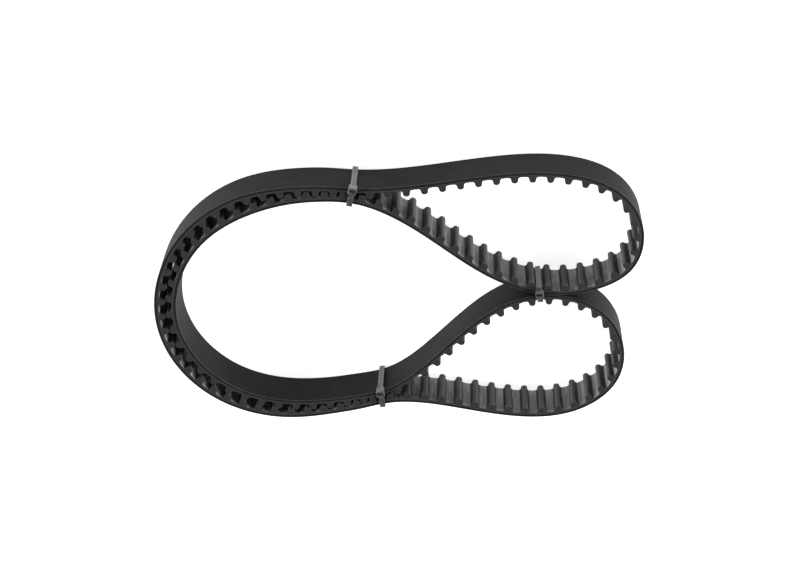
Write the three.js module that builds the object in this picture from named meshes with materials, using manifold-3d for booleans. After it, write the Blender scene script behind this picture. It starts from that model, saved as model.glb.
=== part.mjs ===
// Endless toothed timing belt, folded into a C with two lobes and held by three cable ties.
// Units are millimetres. The belt stands on its side edge: +Z runs across the belt's width,
// +X points from the C to the two lobes.
import * as THREE from "three";
import { mergeVertices } from "three/addons/utils/BufferGeometryUtils.js";
import Module from "manifold-3d";

const wasm = await Module();
wasm.setup();

// ---- belt ----
const PITCH = 8;
const TOOTH_COUNT = 134;
const BELT_WIDTH = 20;
const TOOTH_HEIGHT = 2.8;
const BACK_THICKNESS = 1.5;   // cord line to the smooth back
const LAND_DEPTH = 0.68;      // cord line to the land between two teeth
const CORD_PLY = 0.5;
const FACING = 0.25;

// ---- cable ties ----
const STRAP_WIDTH = 2.5;
const STRAP_THICKNESS = 1;
const STRAP_CLEARANCE = 0.25;
const BEND_RADIUS = 1;        // middle of the strap, where it turns round the belt's edge
const HEAD_WIDTH = 3.8;
const HEAD_DEPTH = 3.3;
const HEAD_HEIGHT = 3.3;
const WINDOW_CLEARANCE = 0.2;
const TAIL_PASSAGE = 1.5;     // height of the way in for the tail, under the window
const TAIL_STUB = 0.3;
const SHOULDER = 1.2;

// ---- how the loop is folded, in tooth pitches ----
// Half a tooth profile: distance from the tooth's middle, and share of the tooth height.
const TOOTH_PROFILE = [[0.28, 0], [0.175, 0.8], [0.125, 1]];
// Middle line of the doubled strand, from the upper tie round the C to the lower tie, and how
// far the strands open up past full mesh at each point.
const SPINE = [
  [-2.98, 6.83, -0.02], [-6.05, 6.66, 0.07], [-9.01, 5.75, 0.33], [-11.5, 3.89, 0.34],
  [-13.03, 1.2, 0.33], [-13.28, -1.9, 0.34], [-12.01, -4.75, 0.39], [-9.56, -6.7, 0.37],
  [-6.51, -7.39, 0.29], [-3.42, -6.99, 0.08], [-0.49, -6.14, -0.01],
];
// Where the backs of the two lobes touch.
const NECK = [8.58, 1.37];
const UPPER_LOBE = [[1, 7.63], [4.91, 8.46], [8.89, 8.75], [11.71, 7.83], [13.1, 5.82],
  [12.79, 3.41], [10.79, 1.98], "neck", [5.44, 2.26], [2.84, 3.75], [-0.13, 5.6]];
const LOWER_LOBE = [[1.95, -3.8], [3.91, -1.53], [6.17, 0.43], "neck", [11.38, 0.39],
  [12.82, -1.59], [12.75, -4.04], [10.68, -6.12], [7.27, -6.75], [3.29, -6.35]];
// Tooth pitches in the upper lobe, the inner strand of the C, the lower lobe, the outer strand.
const LENGTHS = [37.56, 29.69, 34, 32.75];
const MESH_CLEARANCE = 0.45;
const NECK_GAP = 0.1;
// The ties sit near the C's two ends, each pulled tight slightly askew. The neck tie lies in the
// two valleys between teeth, one on each lobe, that are nearest to NECK_TIE.
const UPPER_TIE_SETBACK = 0;
const UPPER_TIE_SKEW = THREE.MathUtils.degToRad(-6);
const LOWER_TIE_SETBACK = 0.2;
const LOWER_TIE_SKEW = THREE.MathUtils.degToRad(-9);
const NECK_TIE = [8, 1.37];
const UPPER_SLACK = 0.375;
const LOWER_SLACK = 0.45;
const NECK_SLACK = 0.55;
const NECK_HEAD_END = 2.8;    // its head lies over the lobes' backs, this far past the middle

const STRAND_KNOTS = 20;
const KNOT_SAMPLES = 24;
const CORNER_STEPS = 5;
const SETTLE_ROUNDS = 14;

// Knot slopes of a cubic spline with continuous curvature through a row of points.
function splineSlopes(points, spans, closed) {
  const n = points.length;
  const slopes = points.map(() => new THREE.Vector3());
  const chords = spans.map((span, i) =>
    points[(i + 1) % n].clone().sub(points[i]).divideScalar(span));
  for (let sweep = 0; sweep < 80; sweep++) {
    for (let i = 0; i < n; i++) {
      if (!closed && i === 0) {
        slopes[0].copy(chords[0]).multiplyScalar(2).sub(slopes[1]);
        continue;
      }
      if (!closed && i === n - 1) {
        slopes[i].copy(chords[i - 1]).multiplyScalar(2).sub(slopes[i - 1]);
        continue;
      }
      const before = (i + n - 1) % n;
      const hb = spans[before];
      const ha = spans[i];
      slopes[i].copy(chords[before]).multiplyScalar(3 * ha)
        .addScaledVector(chords[i], 3 * hb)
        .addScaledVector(slopes[before], -ha)
        .addScaledVector(slopes[(i + 1) % n], -hb)
        .divideScalar(2 * (hb + ha));
    }
  }
  return slopes;
}

// The spline as a dense row of points. Spans follow the distance between knots in X and Y.
function splinePoints(points, closed) {
  const n = points.length;
  const count = closed ? n : n - 1;
  const spans = [];
  for (let i = 0; i < count; i++) {
    const next = points[(i + 1) % n];
    spans.push(Math.hypot(next.x - points[i].x, next.y - points[i].y));
  }
  const slopes = splineSlopes(points, spans, closed);
  const row = [];
  for (let i = 0; i < count; i++) {
    const a = points[i];
    const b = points[(i + 1) % n];
    for (let k = 0; k < KNOT_SAMPLES; k++) {
      const t = k / KNOT_SAMPLES;
      row.push(new THREE.Vector3()
        .addScaledVector(a, (1 + 2 * t) * (1 - t) ** 2)
        .addScaledVector(slopes[i], t * (1 - t) ** 2 * spans[i])
        .addScaledVector(b, t * t * (3 - 2 * t))
        .addScaledVector(slopes[(i + 1) % n], t * t * (t - 1) * spans[i]));
    }
  }
  row.push((closed ? points[0] : points[n - 1]).clone());
  return row;
}

// Running length along a row of points.
function runningLength(row) {
  const lengths = [0];
  for (let i = 1; i < row.length; i++) {
    const step = Math.hypot(row[i].x - row[i - 1].x, row[i].y - row[i - 1].y);
    lengths.push(lengths[i - 1] + step);
  }
  return lengths;
}

// Point and direction at a distance along a row of points.
function placeOn(row, lengths, distance) {
  let low = 0;
  let high = lengths.length - 1;
  while (high - low > 1) {
    const middle = (low + high) >> 1;
    if (lengths[middle] <= distance) {
      low = middle;
    } else {
      high = middle;
    }
  }
  const share = (distance - lengths[low]) / (lengths[high] - lengths[low]);
  const point = row[low].clone().lerp(row[high], share);
  const before = row[Math.max(low - 1, 0)];
  const after = row[Math.min(high + 1, row.length - 1)];
  const near = row[high].clone().sub(row[low]).setZ(0).normalize();
  const wide = after.clone().sub(before).setZ(0).normalize();
  return { point, along: near.add(wide).normalize() };
}

// The folded loop's cord line, for one set of stretch factors.
function foldLoop(stretch) {
  const meshGap = (2 * LAND_DEPTH + TOOTH_HEIGHT + MESH_CLEARANCE) / PITCH;
  const tieX = (SPINE[0][0] + SPINE.at(-1)[0]) / 2;
  const spine = SPINE.map(([x, y, open]) =>
    new THREE.Vector3(tieX + (x - tieX) * stretch.c, y, meshGap + open * stretch.opening));
  const row = splinePoints(spine, false);
  const lengths = runningLength(row);
  const outer = [];
  const inner = [];
  for (let i = 0; i <= STRAND_KNOTS; i++) {
    const { point, along } = placeOn(row, lengths, lengths.at(-1) * i / STRAND_KNOTS);
    const side = new THREE.Vector3(along.y, -along.x, 0);
    const middle = point.clone().setZ(0);
    outer.push(middle.clone().addScaledVector(side, point.z / 2));
    inner.push(middle.clone().addScaledVector(side, -point.z / 2));
  }
  const neckHalf = (BACK_THICKNESS + NECK_GAP / 2) / PITCH;
  const lobe = (outline, factor, side, rootX) => outline.map((p) => {
    if (p === "neck") {
      return new THREE.Vector3(NECK[0], NECK[1] + side * neckHalf, 0);
    }
    return new THREE.Vector3(rootX + (p[0] - rootX) * factor, p[1], 0);
  });
  const upper = lobe(UPPER_LOBE, stretch.upper, 1, SPINE[0][0]);
  const lower = lobe(LOWER_LOBE, stretch.lower, -1, SPINE.at(-1)[0]);
  const knots = [outer[0], ...upper, ...inner, ...lower, ...outer.slice(1).reverse()];
  const marks = [1 + upper.length];
  marks.push(marks[0] + STRAND_KNOTS);
  marks.push(marks[1] + 1 + lower.length);
  const loop = splinePoints(knots, true);
  const along = runningLength(loop);
  const ends = marks.map((mark) => along[mark * KNOT_SAMPLES]);
  const parts = [ends[0], ends[1] - ends[0], ends[2] - ends[1], along.at(-1) - ends[2]];
  return { loop, along, parts, row, lengths };
}

// Stretch the four stretches of belt until each holds its number of tooth pitches.
function settleLoop() {
  const stretch = { upper: 1, lower: 1, c: 1, opening: 1 };
  let folded = foldLoop(stretch);
  for (let round = 0; round < SETTLE_ROUNDS; round++) {
    const [upper, inner, lower, outer] = folded.parts;
    stretch.upper += (LENGTHS[0] - upper) / LENGTHS[0];
    stretch.lower += (LENGTHS[2] - lower) / LENGTHS[2];
    stretch.c += (LENGTHS[1] + LENGTHS[3] - inner - outer) / (LENGTHS[1] + LENGTHS[3]);
    stretch.opening += 0.8 * (LENGTHS[3] - LENGTHS[1] - outer + inner);
    folded = foldLoop(stretch);
  }
  return { ...folded, stretch };
}

const belt = settleLoop();
const LOOP_LENGTH = belt.along.at(-1);

// A point at a tooth position along the belt and a depth toward the teeth, in millimetres.
function onBelt(teeth, depth) {
  const wrapped = ((teeth % TOOTH_COUNT) + TOOTH_COUNT) % TOOTH_COUNT;
  const { point, along } = placeOn(belt.loop, belt.along, wrapped * LOOP_LENGTH / TOOTH_COUNT);
  const x = point.x * PITCH + along.y * depth;
  const y = point.y * PITCH - along.x * depth;
  return new THREE.Vector2(x, y);
}

// The middle of the land, between two teeth, that lies nearest to a place.
function valleyNear(x, y) {
  const place = new THREE.Vector2(x, y);
  let nearest = onBelt(0.5, LAND_DEPTH);
  for (let tooth = 1; tooth < TOOTH_COUNT; tooth++) {
    const valley = onBelt(tooth + 0.5, LAND_DEPTH);
    if (valley.distanceTo(place) < nearest.distanceTo(place)) {
      nearest = valley;
    }
  }
  return nearest;
}

// A plain ring at one depth, with a point at every tooth and every land.
function plainRing(depth) {
  const ring = [];
  for (let i = 0; i < 2 * TOOTH_COUNT; i++) {
    ring.push(onBelt(i / 2, depth));
  }
  return ring;
}

// One tooth's outline, moved in from the fabric's surface by a bond-line distance.
function toothOutline(inset) {
  const half = TOOTH_PROFILE.map(([x, share]) =>
    new THREE.Vector2(-x * PITCH, LAND_DEPTH + share * TOOTH_HEIGHT));
  const full = [...half, ...half.map((p) => new THREE.Vector2(-p.x, p.y)).reverse()];
  return full.map((p, i) => {
    const before = i > 0 ? full[i - 1] : new THREE.Vector2(p.x - 1, p.y);
    const after = i < full.length - 1 ? full[i + 1] : new THREE.Vector2(p.x + 1, p.y);
    const first = p.clone().sub(before).normalize();
    const second = after.clone().sub(p).normalize();
    const bisector = new THREE.Vector2(first.y + second.y, -first.x - second.x).normalize();
    const reach = inset / (bisector.x * first.y - bisector.y * first.x);
    return p.clone().addScaledVector(bisector, reach);
  });
}

function toothedRing(inset) {
  const outline = toothOutline(inset);
  const ring = [];
  for (let tooth = 0; tooth < TOOTH_COUNT; tooth++) {
    for (const p of outline) {
      ring.push(onBelt(tooth + p.x / PITCH, p.y));
    }
  }
  return ring;
}

// The rings run clockwise, and an outline with a hole in it has to run the other way.
function bandBetween(outside, inside) {
  const shape = new THREE.Shape(outside.toReversed());
  shape.holes.push(new THREE.Path(inside));
  return new THREE.ExtrudeGeometry(shape, { depth: BELT_WIDTH, bevelEnabled: false });
}

function toSolid(geometry) {
  const plain = new THREE.BufferGeometry();
  plain.setAttribute("position", geometry.getAttribute("position"));
  plain.setIndex(geometry.getIndex());
  const merged = mergeVertices(plain, 1e-4);
  return new wasm.Manifold(new wasm.Mesh({
    numProp: 3,
    vertProperties: new Float32Array(merged.getAttribute("position").array),
    triVerts: new Uint32Array(merged.getIndex().array),
  }));
}

function toGeometry(solid) {
  const mesh = solid.getMesh();
  const geometry = new THREE.BufferGeometry();
  geometry.setAttribute("position", new THREE.BufferAttribute(mesh.vertProperties, 3));
  geometry.setIndex(new THREE.BufferAttribute(mesh.triVerts, 1));
  return geometry;
}

function block(x0, x1, y0, y1, z0, z1) {
  const box = new THREE.BoxGeometry(x1 - x0, y1 - y0, z1 - z0);
  box.translate((x0 + x1) / 2, (y0 + y1) / 2, (z0 + z1) / 2);
  return toSolid(box);
}

// A path of straight runs whose corners are rounded off.
function roundedPath(corners, radius) {
  const path = [corners[0]];
  for (let i = 1; i < corners.length - 1; i++) {
    const back = corners[i - 1].clone().sub(corners[i]).normalize();
    const ahead = corners[i + 1].clone().sub(corners[i]).normalize();
    const opening = back.angleTo(ahead);
    const turn = (opening - Math.PI) * Math.sign(back.cross(ahead));
    const centre = back.clone().add(ahead).setLength(radius / Math.sin(opening / 2));
    centre.add(corners[i]);
    const enter = corners[i].clone().addScaledVector(back, radius / Math.tan(opening / 2));
    for (let k = 0; k <= CORNER_STEPS; k++) {
      path.push(enter.clone().rotateAround(centre, turn * k / CORNER_STEPS));
    }
  }
  path.push(corners.at(-1));
  return path;
}

// A flat strap that follows a path in X and Z, with its width along Y.
function strapAlong(path) {
  const sides = [[], []];
  path.forEach((point, i) => {
    const first = point.clone().sub(path[Math.max(i - 1, 0)]).normalize();
    const second = path[Math.min(i + 1, path.length - 1)].clone().sub(point).normalize();
    const along = first.add(second);
    const across = new THREE.Vector2(along.y, -along.x).setLength(STRAP_THICKNESS / 2);
    sides[0].push(point.clone().add(across));
    sides[1].unshift(point.clone().sub(across));
  });
  const band = new THREE.ExtrudeGeometry(new THREE.Shape(sides.flat()),
    { depth: STRAP_WIDTH, bevelEnabled: false });
  band.translate(0, 0, -STRAP_WIDTH / 2);
  band.rotateX(Math.PI / 2);
  return toSolid(band);
}

// One cable tie round a bundle. In its own frame X runs across the strands, Z is up, and the
// bundle fills |x| < half. The head lies on top of the bundle, with its root end at x = headEnd
// and the strap's root going down the +X side. The tail comes up the -X side and over the top,
// and turns up through the head's window.
function cableTie(half, headEnd) {
  const t = STRAP_THICKNESS;
  const c = WINDOW_CLEARANCE;
  const roof = BELT_WIDTH + STRAP_CLEARANCE;
  const top = roof + HEAD_HEIGHT;
  const middle = half + STRAP_CLEARANCE + t / 2;
  const run = roof + t / 2;
  const foot = -STRAP_CLEARANCE - t / 2;
  const windowX = headEnd - HEAD_DEPTH / 2;
  const overWall = headEnd > middle;
  const path = [
    new THREE.Vector2(windowX, top + TAIL_STUB),
    new THREE.Vector2(windowX, run),
    new THREE.Vector2(-middle, run),
    new THREE.Vector2(-middle, foot),
    new THREE.Vector2(middle, foot),
    new THREE.Vector2(middle, run),
  ];
  if (!overWall) {
    path.push(new THREE.Vector2(windowX + t / 2 + 2 * c, run));
  }
  const wide = STRAP_WIDTH / 2 + c;
  const head = block(headEnd - HEAD_DEPTH, headEnd, -HEAD_WIDTH / 2, HEAD_WIDTH / 2, roof, top)
    .subtract(block(windowX - t / 2 - c, windowX + t / 2 + c, -wide, wide, roof - 1, top + 1))
    .subtract(block(headEnd - HEAD_DEPTH - 1, windowX, -wide, wide, roof - 1, roof + TAIL_PASSAGE));
  const solid = strapAlong(roundedPath(path, BEND_RADIUS)).add(head);
  return toGeometry(overWall ? solid.add(shoulders(middle - t / 2, roof)) : solid);
}

// Where the head ends over the strap, shoulders widen the strap up to the head.
function shoulders(wall, roof) {
  const flare = new THREE.Shape([
    new THREE.Vector2(-STRAP_WIDTH / 2, roof - SHOULDER),
    new THREE.Vector2(STRAP_WIDTH / 2, roof - SHOULDER),
    new THREE.Vector2(HEAD_WIDTH / 2, roof + STRAP_THICKNESS / 2),
    new THREE.Vector2(-HEAD_WIDTH / 2, roof + STRAP_THICKNESS / 2),
  ]);
  const plate = new THREE.ExtrudeGeometry(flare, { depth: STRAP_THICKNESS, bevelEnabled: false });
  plate.rotateX(Math.PI / 2);
  plate.rotateZ(Math.PI / 2);
  plate.translate(wall, 0, 0);
  return toSolid(plate);
}

const rubber = new THREE.MeshStandardMaterial({ color: 0x39383a, roughness: 0.62 });
const cord = new THREE.MeshStandardMaterial({ color: 0x6d6c68, roughness: 0.75 });
const toothRubber = new THREE.MeshStandardMaterial({ color: 0x434244, roughness: 0.68 });
const fabric = new THREE.MeshStandardMaterial({ color: 0x5a5a5c, roughness: 0.85 });
const nylon = new THREE.MeshStandardMaterial({ color: 0x8a8a8c, roughness: 0.35 });

const part = new THREE.Group();
const beltGroup = new THREE.Group();
part.add(beltGroup);

const cordOutside = plainRing(-CORD_PLY / 2);
const cordInside = plainRing(CORD_PLY / 2);
const bondLine = toothedRing(FACING);
const layers = [
  ["belt_back_cover", plainRing(-BACK_THICKNESS), cordOutside, rubber],
  ["belt_tensile_cord_ply", cordOutside, cordInside, cord],
  ["belt_tooth_rubber", cordInside, bondLine, toothRubber],
  ["belt_tooth_facing", bondLine, toothedRing(0), fabric],
];
for (const [name, outside, inside, material] of layers) {
  const mesh = new THREE.Mesh(bandBetween(outside, inside), material);
  mesh.name = name;
  beltGroup.add(mesh);
}

// The ties: two close the C's doubled strand, and one holds the lobes back to back.
const meshHalf = LAND_DEPTH + (TOOTH_HEIGHT + MESH_CLEARANCE) / 2 + BACK_THICKNESS;
const upperTie = placeOn(belt.row, belt.lengths, UPPER_TIE_SETBACK);
const lowerTie = placeOn(belt.row, belt.lengths, belt.lengths.at(-1) - LOWER_TIE_SETBACK);
const upperTurn = Math.atan2(upperTie.along.y, upperTie.along.x) - Math.PI / 2 + UPPER_TIE_SKEW;
const lowerTurn = Math.atan2(lowerTie.along.y, lowerTie.along.x) + Math.PI / 2 + LOWER_TIE_SKEW;
const neckReach = BACK_THICKNESS + NECK_GAP / 2 + LAND_DEPTH;
const upperValley = valleyNear(NECK_TIE[0] * PITCH, NECK_TIE[1] * PITCH + neckReach);
const lowerValley = valleyNear(NECK_TIE[0] * PITCH, NECK_TIE[1] * PITCH - neckReach);
const neckAcross = upperValley.clone().sub(lowerValley);
const neckTie = upperValley.clone().add(lowerValley).divideScalar(2 * PITCH);
const neckHalf = neckAcross.length() / 2 + NECK_SLACK;
const upperHalf = meshHalf + UPPER_SLACK;
const lowerHalf = meshHalf + LOWER_SLACK;
const overEdge = STRAP_CLEARANCE + STRAP_THICKNESS;
const ties = [
  ["cable_tie_upper", upperTie.point, upperTurn, upperHalf, upperHalf + overEdge],
  ["cable_tie_lower", lowerTie.point, lowerTurn, lowerHalf, lowerHalf + overEdge],
  ["cable_tie_neck", neckTie, neckAcross.angle(), neckHalf, NECK_HEAD_END],
];
for (const [name, at, turn, half, headEnd] of ties) {
  const mesh = new THREE.Mesh(cableTie(half, headEnd), nylon);
  mesh.name = name;
  mesh.position.set(at.x * PITCH, at.y * PITCH, 0);
  mesh.rotation.z = turn;
  beltGroup.add(mesh);
}

// Stand the part on its lowest face with the middle of its outline over the origin.
const bounds = new THREE.Box3().setFromObject(beltGroup);
beltGroup.position.set(-(bounds.min.x + bounds.max.x) / 2, -(bounds.min.y + bounds.max.y) / 2,
  -bounds.min.z);

export default part;
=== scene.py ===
"""A folded timing belt held by three cable ties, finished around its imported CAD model."""

import math

import bpy
import numpy as np
from mathutils import Matrix, Vector


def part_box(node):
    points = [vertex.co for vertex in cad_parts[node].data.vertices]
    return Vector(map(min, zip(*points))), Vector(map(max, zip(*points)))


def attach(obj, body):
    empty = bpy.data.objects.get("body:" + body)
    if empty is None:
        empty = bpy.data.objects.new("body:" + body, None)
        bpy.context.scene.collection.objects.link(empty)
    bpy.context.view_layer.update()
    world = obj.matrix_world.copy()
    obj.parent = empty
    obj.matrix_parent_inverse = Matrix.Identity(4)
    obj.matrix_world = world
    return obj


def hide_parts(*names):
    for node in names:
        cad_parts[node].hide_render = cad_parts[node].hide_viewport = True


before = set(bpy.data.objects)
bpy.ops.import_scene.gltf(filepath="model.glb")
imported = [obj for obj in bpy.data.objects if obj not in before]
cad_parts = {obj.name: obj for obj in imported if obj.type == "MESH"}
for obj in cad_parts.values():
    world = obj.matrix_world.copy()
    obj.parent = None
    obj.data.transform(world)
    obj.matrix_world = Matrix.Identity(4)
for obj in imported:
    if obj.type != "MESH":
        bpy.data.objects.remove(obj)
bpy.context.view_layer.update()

MM = 0.001

# ---- belt, in millimetres ----
PITCH = 8.0
TOOTH_HEIGHT = 2.8
BACK_THICKNESS = 1.5      # cord line to the smooth back
LAND_DEPTH = 0.68         # cord line to the land between two teeth
CORD_PLY = 0.5
FACING = 0.25
CROWN_HALF = 1.58         # half a tooth's width where its flanks stand upright
CROWN_POWER = 2.3         # 2 is an ellipse; more is squarer
ROOT_FILLET = 1.1
BACK_CORNER = 0.12
NOSE_GROOVE = 0.12        # depth of the line that the mould leaves along each land
NOSE_HALF = 0.2
CORD_BULGE = 0.04
CORD_DIAMETER = 0.45
THREADS_PER_PITCH = 26
THREAD_PITCH = 0.36

# ---- cable ties, in millimetres ----
STRAP_WIDTH = 2.5
STRAP_THICKNESS = 1.0
STRAP_HUG = 0.2           # how much closer than in the CAD the drawn-tight strap lies
NECK_HUG = 0.55           # the same for the neck tie
STRAP_BEND = 1.0          # radius of the strap's middle where it turns round the belt's edge
RAIL_WIDTH = 0.5
RAIL_HEIGHT = 0.26
RACK_STEP = 0.8
RACK_DEPTH = 0.14
HEAD_DEPTH = 3.3
HEAD_HEIGHT = 3.3
HEAD_WIDTH = 3.8
HEAD_CORNER = 0.6
HEAD_EDGE = 0.28
WINDOW_LONG = 2.9
WINDOW_WIDE = 1.75
TAIL_ASIDE = 0.26         # the tail is pressed to one side of its window by the pawl
TAIL_STUB = 0.3
SHOULDER = 1.2

# ---- stage ----
FLOOR_HALF = 4.0          # metres
FLOOR_WHITE = 0.75
FLOOR_GLOW = 0.86
SKY_OVERHEAD = 0.36
SKY_HORIZON = 0.8
LIGHT_SIZE = 0.9          # metres
LEFT_POWER = 24.0
RIGHT_POWER = 30.0

# ---- view ----
CAMERA_LENS = 78.508
SENSOR_WIDTH = 36.0
CAMERA_DISTANCE = 0.81328
CAMERA_TILT = math.radians(29.065)
CAMERA_YAW = math.radians(-0.198)
CAMERA_ROLL = math.radians(-3.396)
CAMERA_AIM = Vector((2.351, -3.884, 1.25)) * MM


def add_camera():
    """The camera looks down on the belt's upper edge, over its far side."""
    turn = (
        Matrix.Rotation(CAMERA_ROLL, 4, "Z")
        @ Matrix.Rotation(CAMERA_TILT, 4, "X")
        @ Matrix.Rotation(CAMERA_YAW, 4, "Y")
    )
    data = bpy.data.cameras.new("camera")
    data.lens = CAMERA_LENS
    data.sensor_width = SENSOR_WIDTH
    camera = bpy.data.objects.new("camera", data)
    bpy.context.scene.collection.objects.link(camera)
    camera.matrix_world = (
        Matrix.Translation(CAMERA_AIM)
        @ turn.transposed()
        @ Matrix.Translation((0, 0, CAMERA_DISTANCE))
    )
    bpy.context.scene.camera = camera


add_camera()


# ---------------------------------------------------------------- materials
class Nodes:
    """A material's node tree, with one short call for each kind of node."""

    def __init__(self, name):
        self.material = bpy.data.materials.new(name)
        self.material.use_nodes = True
        self.tree = self.material.node_tree
        self.shader = self.tree.nodes["Principled BSDF"]

    def put(self, socket, value):
        if isinstance(value, bpy.types.NodeSocket):
            self.tree.links.new(value, socket)
        else:
            socket.default_value = value

    def math(self, operation, a, b=0.0, c=0.0):
        node = self.tree.nodes.new("ShaderNodeMath")
        node.operation = operation
        for socket, value in zip(node.inputs, (a, b, c)):
            self.put(socket, value)
        return node.outputs[0]

    def uv(self, layer):
        """The two values that a UV layer holds, as separate numbers."""
        node = self.tree.nodes.new("ShaderNodeUVMap")
        node.uv_map = layer
        split = self.tree.nodes.new("ShaderNodeSeparateXYZ")
        self.tree.links.new(node.outputs["UV"], split.inputs[0])
        return split.outputs[0], split.outputs[1]

    def vector(self, x=0.0, y=0.0, z=0.0):
        node = self.tree.nodes.new("ShaderNodeCombineXYZ")
        for socket, value in zip(node.inputs, (x, y, z)):
            self.put(socket, value)
        return node.outputs[0]

    def place(self):
        """The point's own place in the object, in millimetres."""
        coordinates = self.tree.nodes.new("ShaderNodeTexCoord")
        scale = self.tree.nodes.new("ShaderNodeVectorMath")
        scale.operation = "SCALE"
        scale.inputs["Scale"].default_value = 1 / MM
        self.tree.links.new(coordinates.outputs["Object"], scale.inputs[0])
        return scale.outputs[0]

    def noise(self, vector, scale, detail=3.0, roughness=0.55):
        node = self.tree.nodes.new("ShaderNodeTexNoise")
        self.put(node.inputs["Vector"], vector)
        node.inputs["Scale"].default_value = scale
        node.inputs["Detail"].default_value = detail
        node.inputs["Roughness"].default_value = roughness
        return node.outputs["Fac"]

    def stretched_noise(self, u, u_scale, v, v_scale, detail):
        """Noise over two values, each with a scale of its own."""
        place = self.vector(self.math("MULTIPLY", u, u_scale), self.math("MULTIPLY", v, v_scale))
        return self.noise(place, 1.0, detail)

    def fit(self, value, low, high, out_low=0.0, out_high=1.0):
        """Maps low..high to out_low..out_high, smoothly and never past them."""
        node = self.tree.nodes.new("ShaderNodeMapRange")
        node.interpolation_type = "SMOOTHSTEP"
        for name, number in (("Value", value), ("From Min", low), ("From Max", high),
                             ("To Min", out_low), ("To Max", out_high)):
            self.put(node.inputs[name], number)
        return node.outputs["Result"]

    def mix(self, factor, a, b):
        """Between two colours; plain numbers stand for greys."""
        node = self.tree.nodes.new("ShaderNodeMix")
        node.data_type = "RGBA"
        self.put(node.inputs["Factor"], factor)
        for name, value in (("A", a), ("B", b)):
            if isinstance(value, (int, float)):
                value = (value, value, value, 1)
            socket = next(s for s in node.inputs if s.name == name and s.type == "RGBA")
            self.put(socket, value)
        return next(s for s in node.outputs if s.type == "RGBA")

    def bump(self, height, distance, strength=1.0, normal=None):
        node = self.tree.nodes.new("ShaderNodeBump")
        self.put(node.inputs["Height"], height)
        node.inputs["Distance"].default_value = distance * MM
        node.inputs["Strength"].default_value = strength
        if normal is not None:
            self.tree.links.new(normal, node.inputs["Normal"])
        return node.outputs["Normal"]

    def finish(self, **sockets):
        for name, value in sockets.items():
            self.put(self.shader.inputs[name.replace("_", " ")], value)
        return self.material


def back_rubber():
    """Moulded and ground chloroprene: dark, dull, with a fine grain, rubbed smooth along its
    corners, which are also painted a little paler there as a highlight."""
    n = Nodes("back_rubber")
    place = n.place()
    run, across = n.uv("surface")
    _, edge = n.uv("zone")
    cloud = n.noise(place, 0.045, 4)
    grain = n.noise(place, 5.5, 3)
    ground = n.stretched_noise(run, 2.4, across, 0.25, 3)
    rubbed_and_highlight = n.fit(n.math("ADD", edge, n.math("MULTIPLY", grain, 0.1)), 0.5, 0.2)
    patchy = n.fit(n.noise(place, 0.35, 3), 0.3, 0.6, 0.5, 1.0)
    tone = n.mix(n.fit(cloud, 0.3, 0.7), (0.0140, 0.0138, 0.0142, 1), (0.0200, 0.0197, 0.0203, 1))
    tone = n.mix(n.fit(ground, 0.45, 0.8, 0.0, 0.35), tone, 0.024)
    # Paler corners: partly worn rubber, partly a painted highlight along the rounded back corners.
    tone = n.mix(n.math("MULTIPLY", rubbed_and_highlight, patchy), tone, (0.07, 0.071, 0.07, 1))
    normal = n.bump(ground, 0.05, 0.35)
    normal = n.bump(grain, 0.04, 0.5, normal)
    return n.finish(
        Base_Color=tone,
        Roughness=n.math("SUBTRACT", n.fit(grain, 0.3, 0.7, 0.46, 0.6),
                         n.math("MULTIPLY", rubbed_and_highlight, 0.16)),
        Specular_IOR_Level=0.04,
        Normal=normal,
    )


def cut_face(n, base, pale):
    """Fine knife lines along a sawn belt edge. Returns the colour and the normal."""
    run, depth = n.uv("surface")
    lines = n.stretched_noise(run, 0.22, depth, 5.0, 4)
    grain = n.noise(n.place(), 6.0, 3)
    tone = n.mix(n.fit(lines, 0.35, 0.75, 0.0, 0.8), base, pale)
    normal = n.bump(lines, 0.06, 0.5)
    return tone, n.bump(grain, 0.05, 0.5, normal)


def cord_ply():
    """Rubber with the end of one wound glass cord laid open along each cut edge."""
    n = Nodes("cord_ply")
    tone, normal = cut_face(n, (0.026, 0.0257, 0.026, 1), 0.042)
    run, depth = n.uv("surface")
    open_half, _ = n.uv("zone")
    slant = n.math("ADD", run, n.math("MULTIPLY", depth, 1.6))
    twist = n.math("SINE", n.math("MULTIPLY", slant, 5.2))
    inside = n.fit(n.math("SUBTRACT", open_half, n.math("ABSOLUTE", depth)), -0.02, 0.04)
    glass = n.mix(n.fit(twist, -1.0, 1.0), (0.028, 0.028, 0.027, 1), (0.07, 0.07, 0.066, 1))
    return n.finish(
        Base_Color=n.mix(inside, tone, glass),
        Roughness=0.6,
        Specular_IOR_Level=0.3,
        Normal=n.bump(twist, 0.05, 0.4, normal),
    )


def tooth_rubber():
    """The same rubber under the fabric, seen only on the two cut edges."""
    n = Nodes("tooth_rubber")
    tone, normal = cut_face(n, (0.024, 0.0237, 0.0241, 1), 0.04)
    return n.finish(Base_Color=tone, Roughness=0.62, Specular_IOR_Level=0.3, Normal=normal)


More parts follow.
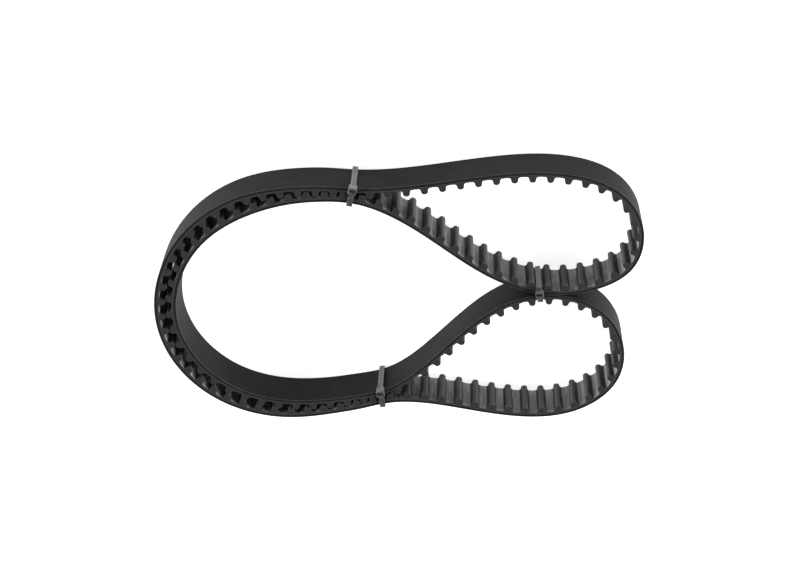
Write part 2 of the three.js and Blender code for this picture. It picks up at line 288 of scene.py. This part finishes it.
def tooth_fabric():
    """Nylon facing: a fine square weave, paler in the lands (rubbed fabric and painted light),
    rubbed pale on the crowns, with painted shade on the flanks, and a little frayed along the cut
    edges."""
    n = Nodes("tooth_fabric")
    run, across = n.uv("surface")
    height, edge = n.uv("zone")
    place = n.place()
    cloud = n.noise(place, 0.09, 4)
    fuzz = n.noise(place, 4.5, 4)
    warp = n.math("SINE", n.math("MULTIPLY", run, math.pi * THREADS_PER_PITCH / PITCH))
    weft = n.math("SINE", n.math("MULTIPLY", across, math.pi / THREAD_PITCH))
    over = n.math("GREATER_THAN", n.math("MULTIPLY", warp, weft), 0.0)
    weave = n.math(
        "ADD",
        n.math("MULTIPLY", over, n.math("ABSOLUTE", warp)),
        n.math("MULTIPLY", n.math("SUBTRACT", 1.0, over), n.math("ABSOLUTE", weft)),
    )
    inside = n.fit(edge, 0.0, 0.1)
    streaks = n.stretched_noise(run, 2.2, across, 0.12, 3)
    # Lands: painted paler, partly the rubbed fabric's own tone and partly painted light where they
    # face the side lamps.
    worn_and_lit_land = n.fit(n.math("ADD", height, n.math("MULTIPLY", cloud, 0.03)), 0.1, 0.012)
    crown = n.fit(height, 0.62, 0.97)
    pale = n.mix(n.fit(streaks, 0.35, 0.65), (0.23, 0.236, 0.232, 1), (0.46, 0.468, 0.462, 1))
    # The near-black grey that stays on the flanks, where neither lands nor crowns lift it, is
    # painted shade.
    tone = n.mix(n.math("MULTIPLY", worn_and_lit_land, inside), (0.014, 0.014, 0.0142, 1), pale)
    tone = n.mix(n.math("MULTIPLY", crown, n.math("MULTIPLY", inside, 0.8)), tone, 0.1)
    tone = n.mix(n.fit(cloud, 0.35, 0.7, 0.0, 0.2), tone, 0.035)
    tone = n.mix(n.fit(weave, 0.0, 0.9, 0.4, 0.0), tone, 0.01)
    frayed = n.fit(n.math("ADD", edge, n.math("MULTIPLY", fuzz, 0.3)), 0.3, 0.12)
    tone = n.mix(n.math("MULTIPLY", frayed, 0.12), tone, 0.13)
    normal = n.bump(weave, 0.06, 0.7)
    return n.finish(
        Base_Color=tone,
        Roughness=n.fit(fuzz, 0.3, 0.7, 0.72, 0.9),
        Specular_IOR_Level=0.25,
        Sheen_Weight=0.12,
        Sheen_Roughness=0.5,
        Normal=n.bump(fuzz, 0.05, 0.5, normal),
    )


def tie_nylon():
    """Moulded polyamide: black, glossy, a little cloudy, with faint flow lines."""
    n = Nodes("tie_nylon")
    place = n.place()
    cloud = n.noise(place, 0.5, 3)
    flow = n.noise(place, 3.5, 3)
    tone = n.mix(n.fit(cloud, 0.3, 0.7), (0.065, 0.065, 0.066, 1), (0.1, 0.1, 0.101, 1))
    return n.finish(
        Base_Color=tone,
        Roughness=n.fit(flow, 0.3, 0.7, 0.2, 0.34),
        Specular_IOR_Level=0.85,
        Normal=n.bump(flow, 0.03, 0.3),
    )


MATERIALS = {
    "back_rubber": back_rubber(),
    "cord_ply": cord_ply(),
    "tooth_rubber": tooth_rubber(),
    "tooth_fabric": tooth_fabric(),
    "tie_nylon": tie_nylon(),
}


# ---------------------------------------------------------------- reading the frame
def lower_rows(node):
    """The closed rows of corners along a CAD band's lower edge, longest first, in mm."""
    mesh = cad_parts[node].data
    corners = np.array([v.co for v in mesh.vertices]) / MM
    low = corners[:, 2].min()
    keys = [tuple(np.round(c[:2], 3)) if c[2] < low + 0.01 else None for c in corners]
    beside = {}
    for polygon in mesh.polygons:
        on_edge = {keys[v] for v in polygon.vertices} - {None}
        if abs(polygon.normal.z) < 0.5 and len(on_edge) == 2:
            a, b = on_edge
            beside.setdefault(a, set()).add(b)
            beside.setdefault(b, set()).add(a)
    rows = []
    while beside:
        row = [min(beside)]
        while row[-1] in beside:
            ahead = sorted(beside.pop(row[-1]) - set(row[-2:]))
            unseen = [key for key in ahead if key in beside]
            if not unseen:
                break
            row.append(unseen[0])
        rows.append(np.array(row))
    return sorted(rows, key=lambda row: -row_length(row))


def row_length(row):
    return np.linalg.norm(np.roll(row, -1, 0) - row, axis=1).sum()


def signed_area(row):
    ahead = np.roll(row, -1, 0)
    return 0.5 * (row[:, 0] * ahead[:, 1] - row[:, 1] * ahead[:, 0]).sum()


def nearest(points, others):
    """For each point, the index of the nearest of the others, and its distance."""
    gaps = np.linalg.norm(points[:, None] - others[None], axis=2)
    return gaps.argmin(1), gaps.min(1)


class CordLine:
    """The belt's cord line as a closed smooth curve, counted in teeth from a tooth's middle."""

    def __init__(self):
        back, ply = lower_rows("belt_back_cover")
        ply = ply[nearest(back, ply)[0]]
        inward = (ply - back) / np.linalg.norm(ply - back, axis=1)[:, None]
        points = back + inward * BACK_THICKNESS
        if signed_area(points) > 0:
            points, inward = points[::-1], inward[::-1]
        tips = points + inward * (LAND_DEPTH + TOOTH_HEIGHT)
        facing = np.vstack(lower_rows("belt_tooth_facing"))
        from_tip = nearest(tips, facing)[1]
        first = 0 if from_tip[::2].mean() < from_tip[1::2].mean() else 1
        start = first + 2 * points[first::2, 0].argmin()
        self.points = np.roll(points, -start, 0)
        self.stations = len(points)
        self.teeth = self.stations // 2
        rise = 3 * (np.roll(self.points, -1, 0) - np.roll(self.points, 1, 0))
        weight = 4 + 2 * np.cos(2 * np.pi * np.arange(self.stations) / self.stations)
        self.slopes = np.fft.ifft(np.fft.fft(rise, axis=0) / weight[:, None], axis=0).real

    def at(self, teeth, depth):
        """Points at those tooth positions, moved from the cord line toward the teeth."""
        station = np.mod(np.asarray(teeth, float) * 2, self.stations)
        low = np.floor(station).astype(int) % self.stations
        high = (low + 1) % self.stations
        t = (station - np.floor(station))[..., None]
        p, q = self.points[low], self.points[high]
        u, v = self.slopes[low], self.slopes[high]
        place = (
            p * (1 + 2 * t) * (1 - t) ** 2
            + u * t * (1 - t) ** 2
            + q * t * t * (3 - 2 * t)
            + v * t * t * (t - 1)
        )
        along = (
            (q - p) * 6 * t * (1 - t) + u * (1 - t) * (1 - 3 * t) + v * t * (3 * t - 2)
        )
        along /= np.linalg.norm(along, axis=-1, keepdims=True)
        inward = np.stack([along[..., 1], -along[..., 0]], -1)
        return place + inward * np.asarray(depth)[..., None]


cord_line = CordLine()
low_corner, high_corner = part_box("belt_back_cover")
BELT_FOOT = low_corner.z / MM
BELT_WIDTH = (high_corner.z - low_corner.z) / MM


# ---------------------------------------------------------------- mesh making
def grid_object(name, points, surface, zone, slot, replaces=None):
    """A closed tube of quads. points[i, j] runs along the tube with i and round it with j.
    surface and zone hold one more row and column than points, so that maps don't fold back."""
    count, around = points.shape[:2]
    i, j = np.meshgrid(np.arange(count), np.arange(around), indexing="ij")
    corner_i = np.stack([i, i + 1, i + 1, i], -1)
    corner_j = np.stack([j, j, j + 1, j + 1], -1)
    faces = (corner_i % count) * around + corner_j % around
    mesh = bpy.data.meshes.new(name)
    mesh.from_pydata((points.reshape(-1, 3) * MM).tolist(), [], faces.reshape(-1, 4).tolist())
    for layer, values in (("surface", surface), ("zone", zone)):
        corners = values[corner_i, corner_j].reshape(-1, 2).astype(np.float32)
        mesh.uv_layers.new(name=layer).data.foreach_set("uv", corners.ravel())
    return add_piece(name, mesh, slot, replaces)


def add_piece(name, mesh, slot, replaces=None):
    mesh.validate()
    mesh.materials.append(MATERIALS[slot])
    piece = bpy.data.objects.new(name, mesh)
    bpy.context.scene.collection.objects.link(piece)
    shade_by_angle(mesh)
    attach(piece, "root")
    if replaces:
        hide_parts(replaces)
    return piece


def shade_by_angle(mesh, limit=math.radians(40)):
    """Smooth shading with hard edges where two faces turn more than the limit."""
    mesh.shade_smooth()
    mesh.set_sharp_from_angle(angle=limit)


def wrapped(values, axis, shift=0.0):
    """The array with its first slice repeated after its last, moved on by shift."""
    first = np.take(values, [0], axis=axis) + shift
    return np.concatenate([values, first], axis=axis)


# ---------------------------------------------------------------- belt layers
def tooth_outline():
    """One pitch of the fabric's surface: distance from the tooth's middle, and depth."""
    fillet = np.linspace(0, math.pi / 2, 8)[:-1]
    root = CROWN_HALF + ROOT_FILLET
    left_x = -root + ROOT_FILLET * np.sin(fillet)
    left_y = ROOT_FILLET * (1 - np.cos(fillet))
    turn = np.linspace(0, math.pi / 2, 9)
    crown_x = -CROWN_HALF * np.cos(turn) ** (2 / CROWN_POWER)
    crown_y = ROOT_FILLET + (TOOTH_HEIGHT - ROOT_FILLET) * np.sin(turn) ** (2 / CROWN_POWER)
    half_x = np.concatenate([left_x, crown_x])
    half_y = np.concatenate([left_y, crown_y])
    groove_x = PITCH / 2 - NOSE_HALF * np.array([2.0, 1.0, 0.0, -1.0, -2.0])
    groove_y = -NOSE_GROOVE * np.array([0.0, 0.7, 1.0, 0.7, 0.0])
    x = np.concatenate([half_x, -half_x[-2::-1], groove_x])
    y = np.concatenate([half_y, half_y[-2::-1], groove_y])
    return x, y + LAND_DEPTH


def inset_outline(x, y, inset):
    """The outline moved into the rubber, at right angles to itself."""
    step_x = np.roll(x, -1) - np.roll(x, 1)
    step_x[0] += PITCH
    step_x[-1] += PITCH
    step_y = np.roll(y, -1) - np.roll(y, 1)
    length = np.hypot(step_x, step_y)
    return x + inset * step_y / length, y - inset * step_x / length


def all_round(x, y):
    """The outline repeated for every tooth: tooth positions and depths."""
    teeth = np.arange(cord_line.teeth)[:, None] + x[None] / PITCH
    return teeth.ravel(), np.tile(y, cord_line.teeth)


def sweep(name, rows, slot, across, zone):
    """A closed band round the belt. Each row is (teeth, depth, height above the foot)."""
    points = []
    for teeth, depth, z in rows:
        flat = cord_line.at(teeth, depth)
        points.append(np.column_stack([flat, BELT_FOOT + np.broadcast_to(z, len(flat))]))
    points = np.stack(points, 1)
    steps = np.linalg.norm(np.roll(points, -1, 0) - points, axis=2)
    run = np.vstack([np.zeros(points.shape[1]), np.cumsum(steps, 0)])
    turns = round(run[-1].mean() / PITCH) * PITCH
    run = run / run[-1] * turns
    surface = np.stack([wrapped(run, 1), np.broadcast_to(across, (len(run), len(across)))], -1)
    return grid_object(name, points, surface, zone, slot, name)


def across_rows(margin):
    """Heights of the rows over the width, closer together near the two cut edges."""
    inner = np.linspace(1.6, BELT_WIDTH - 1.6, 8)
    near = [margin, margin + 0.18, margin + 0.5]
    return [*near, *inner, *[BELT_WIDTH - z for z in reversed(near)]]


def make_back_cover():
    teeth = np.arange(cord_line.teeth * 8) / 8
    inner = -CORD_PLY / 2
    turn = np.linspace(0, math.pi / 2, 5)
    corner = [
        (-BACK_THICKNESS + BACK_CORNER * (1 - math.sin(a)), BACK_CORNER * (1 - math.cos(a)))
        for a in turn
    ]
    lower = [(inner, 0.0), (-0.8, 0.0), *corner]
    middle = [(-BACK_THICKNESS, z) for z in across_rows(BACK_CORNER)[1:-1]]
    upper = [(depth, BELT_WIDTH - z) for depth, z in reversed(lower)]
    section = lower + middle + upper
    rows = [(teeth, np.full(len(teeth), depth), z) for depth, z in section]
    across = section_lengths(section)
    from_edge = [min(z, BELT_WIDTH - z) + (depth + BACK_THICKNESS) for depth, z in section]
    zone = fill_zone(len(teeth), np.zeros(len(section)), np.array(from_edge))
    return sweep("belt_back_cover", rows, "back_rubber", across, zone)


def section_lengths(section):
    """Running distance round a closed section, starting and ending at its first point."""
    corners = np.array([*section, section[0]])
    return np.concatenate([[0], np.cumsum(np.linalg.norm(np.diff(corners, axis=0), axis=1))])


def fill_zone(count, first, second):
    """A zone map that is the same at every station."""
    both = np.stack([wrapped(first, 0), wrapped(second, 0)], -1)
    return np.broadcast_to(both[None], (count + 1, *both.shape))


def make_cord_ply():
    count = cord_line.teeth * 8
    teeth = np.arange(count) / 8
    half = CORD_PLY / 2
    section = [(-half, 0.0), (-0.6 * half, -0.7 * CORD_BULGE), (0.0, -CORD_BULGE),
               (0.6 * half, -0.7 * CORD_BULGE), (half, 0.0)]
    section += [(depth, BELT_WIDTH - z) for depth, z in reversed(section)]
    rows = [(teeth, np.full(count, depth), z) for depth, z in section]
    across = np.array([depth for depth, _ in section] + [section[0][0]])
    # The cord is wound as a helix, so the knife opens it gradually over one turn of the belt.
    cut = np.cos(2 * np.pi * np.arange(count + 1) / count) * 0.8
    opened = CORD_DIAMETER / 2 * np.sqrt(1 - cut**2)
    zone = np.zeros((count + 1, len(section) + 1, 2))
    zone[..., 0] = opened[:, None]
    return sweep("belt_tensile_cord_ply", rows, "cord_ply", across, zone)


def make_tooth_rubber(x, y):
    bond = all_round(*inset_outline(x, y, FACING))
    base = CORD_PLY / 2
    rows = []
    for share, z in ((0, 0), (0.5, 0), (1, 0), (1, 1), (0.5, 1), (0, 1)):
        rows.append((bond[0], base + (bond[1] - base) * share, z * BELT_WIDTH))
    across = np.array([0, 1.2, 2.4, 2.4, 1.2, 0, 0])
    zone = fill_zone(len(bond[0]), np.zeros(len(rows)), np.zeros(len(rows)))
    return sweep("belt_tooth_rubber", rows, "tooth_rubber", across, zone)


def make_tooth_facing(x, y):
    skin = all_round(x, y)
    bond = all_round(*inset_outline(x, y, FACING))
    margin = 0.05
    outer = [(1.0, z) for z in across_rows(margin)]
    section = [(0.0, 0.0), (0.78, 0.0), *outer, (0.78, BELT_WIDTH), (0.0, BELT_WIDTH)]
    rows = []
    for share, z in section:
        teeth = bond[0] + (skin[0] - bond[0]) * share
        depth = bond[1] + (skin[1] - bond[1]) * share
        rows.append((teeth, depth, z))
    across = np.array([z for _, z in section] + [0.0])
    height = np.clip((skin[1] - LAND_DEPTH) / TOOTH_HEIGHT, 0, 1)
    edge = np.array([min(z, BELT_WIDTH - z) for _, z in section] + [0.0])
    zone = np.stack(np.broadcast_arrays(wrapped(height, 0)[:, None], edge[None]), -1)
    return sweep("belt_tooth_facing", rows, "tooth_fabric", across, zone)


# ---------------------------------------------------------------- cable ties
def tube_object(name, points, slot, closed, replaces=None):
    """A tube of quads along the rings points[i], capped with flat ends unless it is closed."""
    count, around = points.shape[:2]
    spans = count if closed else count - 1
    i, j = np.meshgrid(np.arange(spans), np.arange(around), indexing="ij")
    ahead = (i + 1) % count
    beside = (j + 1) % around
    faces = np.stack(
        [i * around + j, ahead * around + j, ahead * around + beside, i * around + beside], -1
    )
    faces = faces.reshape(-1, 4).tolist()
    if not closed:
        faces += [list(range(around)), [(count - 1) * around + k for k in reversed(range(around))]]
    mesh = bpy.data.meshes.new(name)
    mesh.from_pydata((points.reshape(-1, 3) * MM).tolist(), [], faces)
    return add_piece(name, mesh, slot, replaces)


def rounded_route(corners, radius, step):
    """Evenly spaced points and directions along straight runs with rounded corners."""
    route = [np.array(corners[0], float)]
    for before, corner, after in zip(corners, corners[1:], corners[2:]):
        before, corner, after = (np.array(p, float) for p in (before, corner, after))
        back = (before - corner) / np.linalg.norm(before - corner)
        ahead = (after - corner) / np.linalg.norm(after - corner)
        opening = math.acos(np.clip(back @ ahead, -1, 1))
        enter = corner + back * radius / math.tan(opening / 2)
        middle = back + ahead
        middle = corner + middle / np.linalg.norm(middle) * radius / math.sin(opening / 2)
        turn = (opening - math.pi) * np.sign(back[0] * ahead[1] - back[1] * ahead[0])
        for k in range(9):
            c, s = math.cos(turn * k / 8), math.sin(turn * k / 8)
            spoke = enter - middle
            route.append(middle + [c * spoke[0] - s * spoke[1], s * spoke[0] + c * spoke[1]])
    route.append(np.array(corners[-1], float))
    route = np.array(route)
    length = np.concatenate([[0], np.cumsum(np.linalg.norm(np.diff(route, axis=0), axis=1))])
    at = np.linspace(0, length[-1], round(length[-1] / step) + 1)
    place = np.stack([np.interp(at, length, route[:, k]) for k in (0, 1)], -1)
    along = np.gradient(place, axis=0)
    return at, place, along / np.linalg.norm(along, axis=1)[:, None]


def strap_section():
    """Half way round the strap: across its width, and out from its inner face. The outer face
    has a raised rail along each edge; the inner face carries the rack."""
    half = STRAP_WIDTH / 2
    t = STRAP_THICKNESS
    rail = half - RAIL_WIDTH
    side = [(half - 0.12, t), (half - 0.03, t - 0.04), (half, t - 0.14), (half, 0.16),
            (half - 0.04, 0.05), (half - 0.14, 0.0)]
    inner = [(rail, 0.0), (rail - 0.08, 0.0), (0.0, 0.0)]
    outer = [(0.0, t - RAIL_HEIGHT), (rail - 0.2, t - RAIL_HEIGHT), (rail, t - 0.03),
             (rail + 0.1, t)]
    right = outer + side + inner
    left = [(-x, y) for x, y in right[-2:0:-1]]
    return np.array(right + left)


def make_strap(tie, corners, flared):
    """The strap follows its route in the tie's X and Z, with the rack cut into its inner face.
    A flared strap widens to the head's width over its shoulders, at the root end."""
    at, place, along = rounded_route(corners, STRAP_BEND, RACK_STEP / 8)
    normal = np.stack([-along[:, 1], along[:, 0]], -1)
    section = strap_section()
    saw = (at / RACK_STEP) % 1.0
    on_rack = (np.abs(section[:, 0]) < STRAP_WIDTH / 2 - RAIL_WIDTH - 0.01) & (section[:, 1] == 0)
    out = section[:, 1] - STRAP_THICKNESS / 2 + RACK_DEPTH * saw[:, None] * on_rack
    x = place[:, 0, None] + normal[:, 0, None] * out
    z = place[:, 1, None] + normal[:, 1, None] * out
    share = np.clip((at - at[-1] + SHOULDER + STRAP_THICKNESS) / SHOULDER, 0, 1) * flared
    widen = 1 + (HEAD_WIDTH / STRAP_WIDTH - 1) * share * share * (3 - 2 * share)
    y = section[:, 0] * widen[:, None]
    return tie.placed(x, y, z)


def rounded_ring(half_x, half_y, radius, steps=5):
    """A rectangle with round corners, counterclockwise."""
    ring = []
    for quarter, (sx, sy) in enumerate(((1, 1), (-1, 1), (-1, -1), (1, -1))):
        for k in range(steps + 1):
            a = (quarter + k / steps) * math.pi / 2
            ring.append((sx * (half_x - radius) + radius * math.cos(a),
                         sy * (half_y - radius) + radius * math.sin(a)))
    return np.array(ring)


def make_head(tie, middle_x, low, high):
    """A thick ring: down the outside with rounded edges, and up through the tail's window."""
    rings = []
    for inset, z in ((0.16, low), (0.04, low + 0.08), (0.0, low + 0.22), (0.0, high - HEAD_EDGE),
                     (0.05, high - 0.5 * HEAD_EDGE), (0.14, high - 0.16 * HEAD_EDGE),
                     (HEAD_EDGE, high)):
        rings.append((rounded_ring(HEAD_DEPTH / 2 - inset, HEAD_WIDTH / 2 - inset,
                                   HEAD_CORNER - inset), z))
    for outset, z in ((0.12, high), (0.03, high - 0.05), (0.0, high - 0.16), (0.0, low + 0.1),
                      (0.1, low)):
        rings.append((rounded_ring(WINDOW_WIDE / 2 + outset, WINDOW_LONG / 2 + outset,
                                   0.22 + outset), z))
    points = []
    for ring, z in rings:
        points.append(tie.placed(middle_x + ring[:, 0], ring[:, 1], np.full(len(ring), z)))
    return np.stack(points)


class Tie:
    """A tie's own frame, read from its CAD piece: X across the strands, with the strap's root
    at +X, and Z up. The window is where the cut tail stands out of the head."""

    def __init__(self, node):
        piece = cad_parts[node]
        corners = np.array([piece.matrix_world @ v.co for v in piece.data.vertices]) / MM
        walls = [p for p in piece.data.polygons if abs(p.normal.z) < 0.01]
        widest = max(walls, key=lambda p: p.area)
        turned = piece.matrix_world.to_3x3() @ widest.normal
        self.x = np.array([turned.x, turned.y]) / math.hypot(turned.x, turned.y)
        across = corners[:, :2] @ self.x
        low = corners[:, 2] < BELT_FOOT + BELT_WIDTH / 2
        reach = (across[low].min(), across[low].max())
        high = corners[:, 2] > corners[:, 2].max() - TAIL_STUB - 0.1
        if across[high].mean() < sum(reach) / 2:
            self.x = -self.x
            across = -across
            reach = (-reach[1], -reach[0])
        self.y = np.array([-self.x[1], self.x[0]])
        self.middle = self.x * sum(reach) / 2 + self.y * (corners[:, :2] @ self.y).mean()
        self.half = (reach[1] - reach[0]) / 2
        tail = across[high] - sum(reach) / 2
        self.window = (tail.min() + tail.max()) / 2
        self.foot = corners[:, 2].min()
        self.top = corners[:, 2].max() - TAIL_STUB

    def placed(self, x, y, z):
        flat = self.middle + x[..., None] * self.x + y[..., None] * self.y
        return np.concatenate([flat, z[..., None]], -1)


def make_tie(node, hug):
    """The strap starts at the cut tail in the head's window and ends at its root on the head."""
    tie = Tie(node)
    half_strap = STRAP_THICKNESS / 2
    wall = tie.half - half_strap - hug
    run = tie.top - HEAD_HEIGHT + half_strap
    foot = tie.foot + half_strap
    over_wall = tie.window + HEAD_DEPTH / 2 > tie.half - hug
    window = tie.window - (hug if over_wall else 0)
    tail = window - TAIL_ASIDE
    corners = [(tail, tie.top + TAIL_STUB), (tail, run), (-wall, run), (-wall, foot),
               (wall, foot), (wall, run)]
    if not over_wall:
        corners.append((window + HEAD_DEPTH / 2 - 0.2, run))
    tube_object(node, make_strap(tie, corners, over_wall), "tie_nylon", False, node)
    head = make_head(tie, window, tie.top - HEAD_HEIGHT, tie.top)
    tube_object(node + "_head", head, "tie_nylon", True)
    pawl = make_pawl(tie, window + WINDOW_WIDE / 2, tie.top)
    tube_object(node + "_pawl", pawl, "tie_nylon", False)


def make_pawl(tie, wall_x, top):
    """A small tongue that leans from the window's side against the tail."""
    reach = WINDOW_WIDE / 2 + TAIL_ASIDE - STRAP_THICKNESS / 2
    rings = []
    for out, drop, thick in ((-0.2, 1.6, 0.5), (0.1, 1.4, 0.45), (0.6 * reach, 1.0, 0.35),
                             (reach - 0.06, 0.7, 0.25)):
        wide = WINDOW_LONG / 2 - 0.3
        y = np.array([-wide, wide, wide, -wide])
        z = top - drop + thick * np.array([0.0, 0.0, 1.0, 1.0])
        rings.append(tie.placed(np.full(4, wall_x - out), y, z))
    return np.stack(rings)


outline_x, outline_y = tooth_outline()
make_back_cover()
make_cord_ply()
make_tooth_rubber(outline_x, outline_y)
make_tooth_facing(outline_x, outline_y)
make_tie("cable_tie_upper", STRAP_HUG)
make_tie("cable_tie_lower", STRAP_HUG)
make_tie("cable_tie_neck", NECK_HUG)


# ---------------------------------------------------------------- stage
def add_floor():
    mesh = bpy.data.meshes.new("floor")
    half = FLOOR_HALF
    mesh.from_pydata(
        [(-half, -half, 0), (half, -half, 0), (half, half, 0), (-half, half, 0)], [], [(0, 1, 2, 3)]
    )
    n = Nodes("floor")
    mesh.materials.append(
        n.finish(Base_Color=(FLOOR_WHITE, FLOOR_WHITE, FLOOR_WHITE, 1), Roughness=0.9,
                 Specular_IOR_Level=0.0, Emission_Color=(1, 1, 1, 1),
                 Emission_Strength=FLOOR_GLOW)
    )
    floor = bpy.data.objects.new("floor", mesh)
    bpy.context.scene.collection.objects.link(floor)


def add_light(name, place, size, power):
    """A square soft light that looks at the middle of the belt."""
    data = bpy.data.lights.new(name, "AREA")
    data.size = size
    data.energy = power
    light = bpy.data.objects.new(name, data)
    light.location = place
    light.rotation_euler = (-Vector(place)).to_track_quat("-Z", "Y").to_euler()
    bpy.context.scene.collection.objects.link(light)


def add_world(overhead, horizon):
    """Soft light all round that is dimmer overhead than near the horizon."""
    world = bpy.data.worlds.new("studio")
    world.use_nodes = True
    tree = world.node_tree
    direction = tree.nodes.new("ShaderNodeTexCoord")
    split = tree.nodes.new("ShaderNodeSeparateXYZ")
    level = tree.nodes.new("ShaderNodeMapRange")
    for name, number in (("From Min", 0.1), ("From Max", 0.9), ("To Min", horizon),
                         ("To Max", overhead)):
        level.inputs[name].default_value = number
    tree.links.new(direction.outputs["Generated"], split.inputs[0])
    tree.links.new(split.outputs["Z"], level.inputs["Value"])
    tree.links.new(level.outputs["Result"], tree.nodes["Background"].inputs["Strength"])
    bpy.context.scene.world = world


add_floor()
add_world(SKY_OVERHEAD, SKY_HORIZON)
add_light("left", (-1.3, -0.1, 0.6), LIGHT_SIZE, LEFT_POWER)
add_light("right", (1.3, -0.1, 0.6), LIGHT_SIZE, RIGHT_POWER)
bpy.context.scene.view_settings.view_transform = "Standard"
